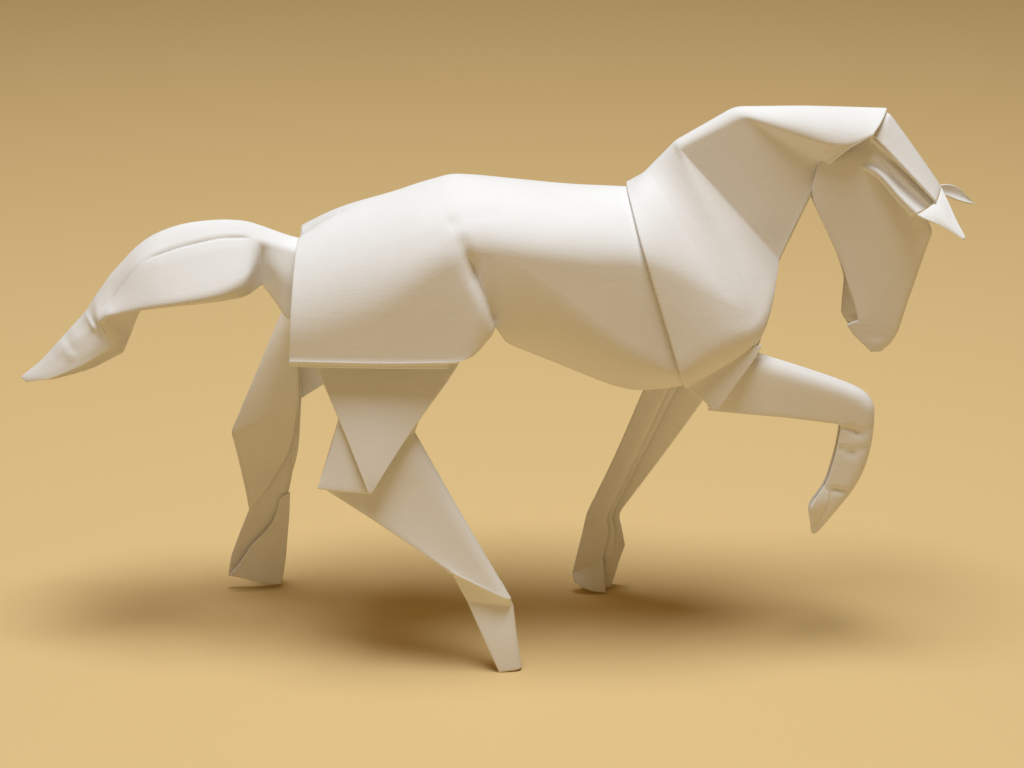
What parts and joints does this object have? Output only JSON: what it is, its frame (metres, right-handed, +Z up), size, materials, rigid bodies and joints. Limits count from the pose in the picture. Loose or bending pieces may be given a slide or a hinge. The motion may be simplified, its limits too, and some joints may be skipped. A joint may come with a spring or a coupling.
{
  "type": "origami horse",
  "caption": "Horse folded from one sheet of thick white paper, standing with a raised fore leg, head bowed and tail arched; a display ornament.",
  "frame": {"origin": "centre of the bounding box on the ground the hooves stand on", "axes": "+X forward along the horse, +Y to the horse's left, +Z up"},
  "size_m": [0.1916, 0.0442, 0.1097],
  "materials": {
    "paper": "matte"
  },
  "bodies": {
    "root": {"folded_horse": "paper"}
  },
  "joints": []
}
